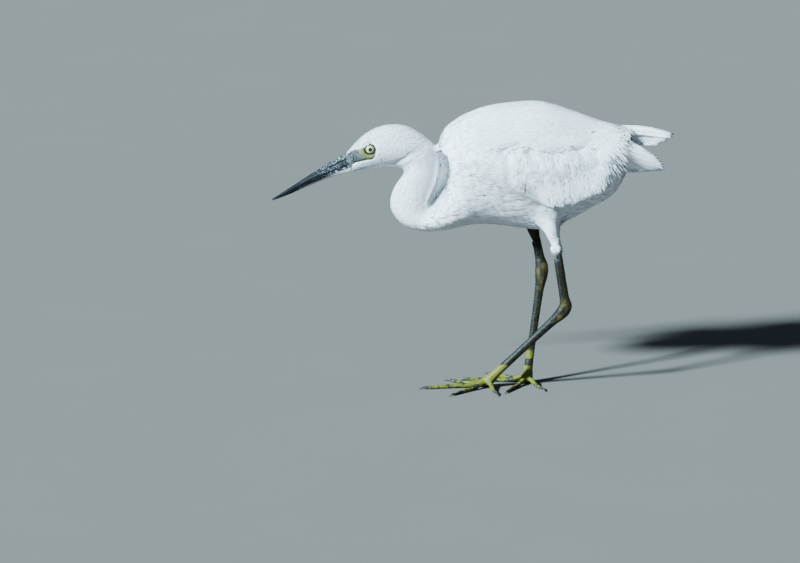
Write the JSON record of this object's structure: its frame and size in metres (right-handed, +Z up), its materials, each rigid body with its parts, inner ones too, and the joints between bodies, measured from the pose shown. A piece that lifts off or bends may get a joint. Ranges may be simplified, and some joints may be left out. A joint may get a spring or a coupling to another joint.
{
  "type": "little egret",
  "caption": "Life-size still model of a little egret, a slender white wading bird, stalking with its neck folded, bill held low and one leg stepping.",
  "frame": {"origin": "on the ground, under the middle of the bird's bounding box", "axes": "+X towards the tail and -X towards the bill, -Y towards the bird's left side, +Z up"},
  "size_m": [0.4027, 0.1002, 0.2925],
  "materials": {
    "plumage": "soft white feathers",
    "bill_horn": "satin black horn, grey and flaky at the root",
    "eye": "wet pale yellow iris with a black pupil",
    "leg_scales": "olive-black scutes",
    "foot_skin": "yellow-green scaly skin",
    "claw_horn": "dark horn"
  },
  "bodies": {
    "root": {"bill_upper": "bill_horn", "bill_lower": "bill_horn", "head": "plumage", "eye_left": "eye", "eye_right": "eye", "neck_upper": "plumage", "neck_middle": "plumage", "neck_lower": "plumage", "trunk": "plumage", "wing_left": "plumage", "wing_right": "plumage", "tail": "plumage", "thigh_left": "plumage", "thigh_right": "plumage", "shank_left": "leg_scales", "shank_right": "leg_scales", "ankle_left": "leg_scales", "ankle_right": "leg_scales", "tarsus_left": "leg_scales", "tarsus_right": "leg_scales", "foot_left": "foot_skin", "foot_right": "foot_skin", "toe_left_middle": "foot_skin", "toe_left_outer": "foot_skin", "toe_left_inner": "foot_skin", "toe_left_hind": "foot_skin", "toe_right_middle": "foot_skin", "toe_right_outer": "foot_skin", "toe_right_inner": "foot_skin", "toe_right_hind": "foot_skin", "claw_left_middle": "claw_horn", "claw_left_outer": "claw_horn", "claw_left_inner": "claw_horn", "claw_left_hind": "claw_horn", "claw_right_middle": "claw_horn", "claw_right_outer": "claw_horn", "claw_right_inner": "claw_horn", "claw_right_hind": "claw_horn"}
  },
  "joints": []
}
